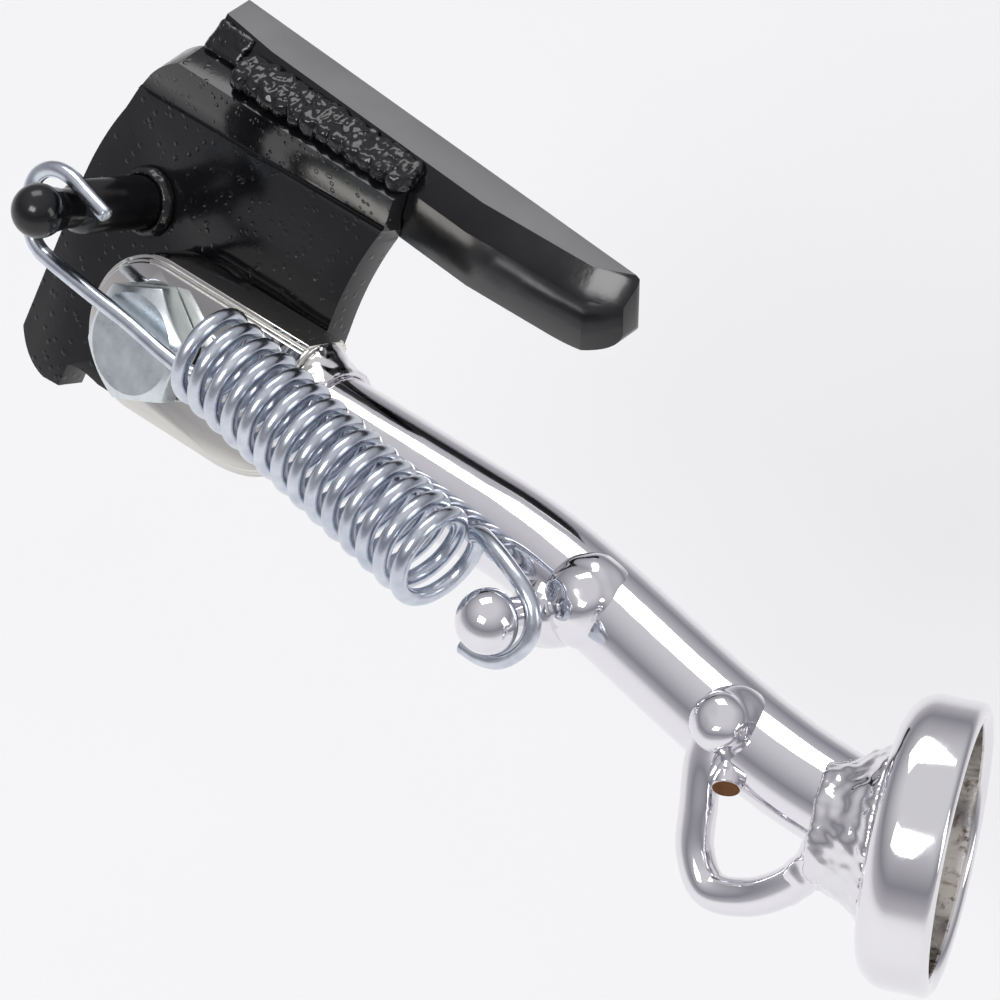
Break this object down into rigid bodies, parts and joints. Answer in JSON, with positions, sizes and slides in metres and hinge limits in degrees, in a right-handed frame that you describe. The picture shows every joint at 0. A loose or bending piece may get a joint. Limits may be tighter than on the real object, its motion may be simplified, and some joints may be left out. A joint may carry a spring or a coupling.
{
  "type": "motorcycle side stand",
  "caption": "Folded weld-on motorcycle kickstand: bent pivot plate, chromed leg with kick loop and cupped foot, and a coil return spring.",
  "frame": {"origin": "middle of the flat weld face on top of the mounting bar", "axes": "+Z out of the weld face, +X along the bar towards the foot of the folded leg, +Y inboard, towards the motorcycle"},
  "size_m": [0.2175, 0.0584, 0.0667],
  "materials": {
    "black_paint": "gloss black paint over welds",
    "chrome_plate": "bright chrome plate",
    "spring_zinc": "bluish bright zinc plate on drawn wire",
    "bolt_zinc": "bluish bright zinc plate",
    "bushing_bronze": "plain sintered bronze",
    "washer_steel": "plain steel"
  },
  "bodies": {
    "bracket": {"mounting_bar": "black_paint", "pivot_plate": "black_paint", "bar_weld_front": "black_paint", "bar_weld_end": "black_paint", "bracket_spring_stud": "black_paint", "bracket_stud_weld": "black_paint", "pivot_bolt": "bolt_zinc", "thrust_washer": "washer_steel", "lock_washer": "bolt_zinc", "lock_nut": "bolt_zinc"},
    "leg": {"leg_head": "chrome_plate", "pivot_bushing": "bushing_bronze", "head_weld": "chrome_plate", "leg_tube": "chrome_plate", "leg_spring_stud": "chrome_plate", "leg_stud_weld": "chrome_plate", "kick_loop": "chrome_plate", "loop_weld_upper": "chrome_plate", "loop_weld_lower": "chrome_plate", "foot_weld": "chrome_plate", "foot_cup": "chrome_plate"},
    "spring_upper": {"spring_upper_hook": "spring_zinc", "spring_coil": "spring_zinc"},
    "spring_lower": {"spring_lower_hook": "spring_zinc"}
  },
  "joints": [
    {"name": "leg_hinge", "type": "hinge", "parent": "bracket", "child": "leg", "pos_m": [-0.02451, -0.03295, -0.03818], "axis": [0, 0.866, -0.5], "range_deg": [0, 110], "deforming": ["spring_coil"]},
    {"name": "spring_swing", "type": "hinge", "parent": "bracket", "child": "spring_upper", "pos_m": [-0.04541, -0.03811, -0.01912], "axis": [0, 0.866, -0.5], "range_deg": [0, 89]},
    {"name": "hook_turn", "type": "hinge", "parent": "leg", "child": "spring_lower", "pos_m": [0.06601, -0.04267, -0.02702], "axis": [0, 0.866, -0.5], "range_deg": [-22, 0]}
  ],
  "couplings": [
    {"joint": "spring_swing", "follows": "leg_hinge", "ratio": 0.8045},
    {"joint": "hook_turn", "follows": "leg_hinge", "ratio": -0.1955}
  ]
}
